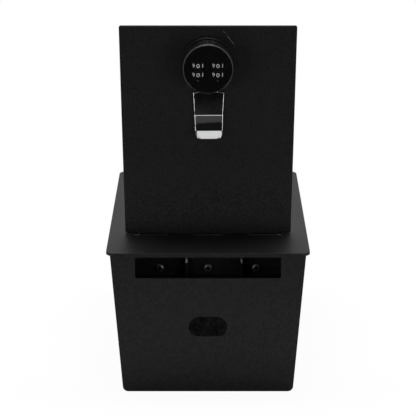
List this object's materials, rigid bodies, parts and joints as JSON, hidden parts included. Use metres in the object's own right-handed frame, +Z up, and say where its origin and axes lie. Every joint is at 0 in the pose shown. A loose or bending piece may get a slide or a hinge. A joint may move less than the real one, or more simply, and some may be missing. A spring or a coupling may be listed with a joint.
{
  "type": "drop-in strongbox",
  "caption": "Black sheet-steel drop-in cash strongbox with tapered tub, wide top frame, hinged lid, dial-wheel knob lock, finger pull and sliding lock bolts.",
  "frame": {"origin": "on the floor plane under the middle of the top frame", "axes": "+X along the hinge, +Y from the hinge side to the lock side, +Z up; stored with the lid open"},
  "size_m": [0.1858, 0.27, 0.3258],
  "materials": {
    "powder_coat": "fine-textured semi-gloss black powder coat",
    "lock_black": "satin black on die-cast zinc",
    "wheel_black": "matt black with white printed digits",
    "chrome": "polished chrome plate",
    "zinc_plate": "bright zinc-plated steel",
    "black_oxide": "black oxide steel",
    "felt": "black needled felt"
  },
  "bodies": {
    "box": {"body_wrapper": "powder_coat", "front_wall": "powder_coat", "rear_wall": "powder_coat", "top_frame": "powder_coat", "hinge_pocket": "powder_coat", "pocket_gussets": "powder_coat", "hinge_fixed_leaf": "black_oxide", "hinge_pin": "black_oxide", "hinge_screws": "black_oxide", "hinge_nuts": "zinc_plate", "floor_mat": "felt"},
    "lid": {"lid_plate": "powder_coat", "hinge_lid_leaf": "black_oxide", "leaf_studs": "zinc_plate", "leaf_nuts": "zinc_plate", "pull_tab": "chrome", "lock_barrel": "lock_black", "lock_nut": "zinc_plate", "bolt_guides_right": "zinc_plate", "bolt_guides_left": "zinc_plate", "bolt_guide_rear": "zinc_plate"},
    "knob": {"knob_body": "lock_black", "knob_face": "lock_black", "wheel_axles": "zinc_plate", "wheel_springs": "zinc_plate", "spindle": "zinc_plate", "scroll_cam": "zinc_plate", "cam_washer": "zinc_plate", "cam_screw": "zinc_plate"},
    "bolt_right": {"lock_bolt_right": "zinc_plate", "follower_pin_right": "zinc_plate"},
    "bolt_left": {"lock_bolt_left": "zinc_plate", "follower_pin_left": "zinc_plate"},
    "bolt_rear": {"lock_bolt_rear": "zinc_plate", "follower_pin_rear": "zinc_plate"},
    "wheel_1": {"number_wheel_1": "wheel_black"},
    "wheel_2": {"number_wheel_2": "wheel_black"},
    "wheel_3": {"number_wheel_3": "wheel_black"},
    "wheel_4": {"number_wheel_4": "wheel_black"}
  },
  "joints": [
    {"name": "lid_hinge", "type": "hinge", "parent": "box", "child": "lid", "pos_m": [0, -0.069, 0.1294], "axis": [-1, 0, 0], "range_deg": [0, 93]},
    {"name": "knob_turn", "type": "hinge", "parent": "lid", "child": "knob", "pos_m": [0, -0.08448, 0.29291], "axis": [0, 0.9986, 0.0523], "range_deg": [0, 90]},
    {"name": "wheel_1_turn", "type": "hinge", "parent": "knob", "child": "wheel_1", "pos_m": [-0.0086, -0.10142, 0.29508], "axis": [0, -0.0523, 0.9986], "continuous": true},
    {"name": "wheel_2_turn", "type": "hinge", "parent": "knob", "child": "wheel_2", "pos_m": [0.0086, -0.10142, 0.29508], "axis": [0, -0.0523, 0.9986], "continuous": true},
    {"name": "wheel_3_turn", "type": "hinge", "parent": "knob", "child": "wheel_3", "pos_m": [-0.0086, -0.10099, 0.28699], "axis": [0, -0.0523, 0.9986], "continuous": true},
    {"name": "wheel_4_turn", "type": "hinge", "parent": "knob", "child": "wheel_4", "pos_m": [0.0086, -0.10099, 0.28699], "axis": [0, -0.0523, 0.9986], "continuous": true},
    {"name": "bolt_right_slide", "type": "slide", "parent": "lid", "child": "bolt_right", "axis": [1, 0, 0], "range_m": [0, 0.009]},
    {"name": "bolt_left_slide", "type": "slide", "parent": "lid", "child": "bolt_left", "axis": [-1, 0, 0], "range_m": [0, 0.009]},
    {"name": "bolt_rear_slide", "type": "slide", "parent": "lid", "child": "bolt_rear", "axis": [0, -0.0523, 0.9986], "range_m": [0, 0.009]}
  ],
  "couplings": [
    {"joint": "bolt_right_slide", "follows": "knob_turn", "m_per_rad": 0.0057296},
    {"joint": "bolt_left_slide", "follows": "knob_turn", "m_per_rad": 0.0057296},
    {"joint": "bolt_rear_slide", "follows": "knob_turn", "m_per_rad": 0.0057296}
  ]
}
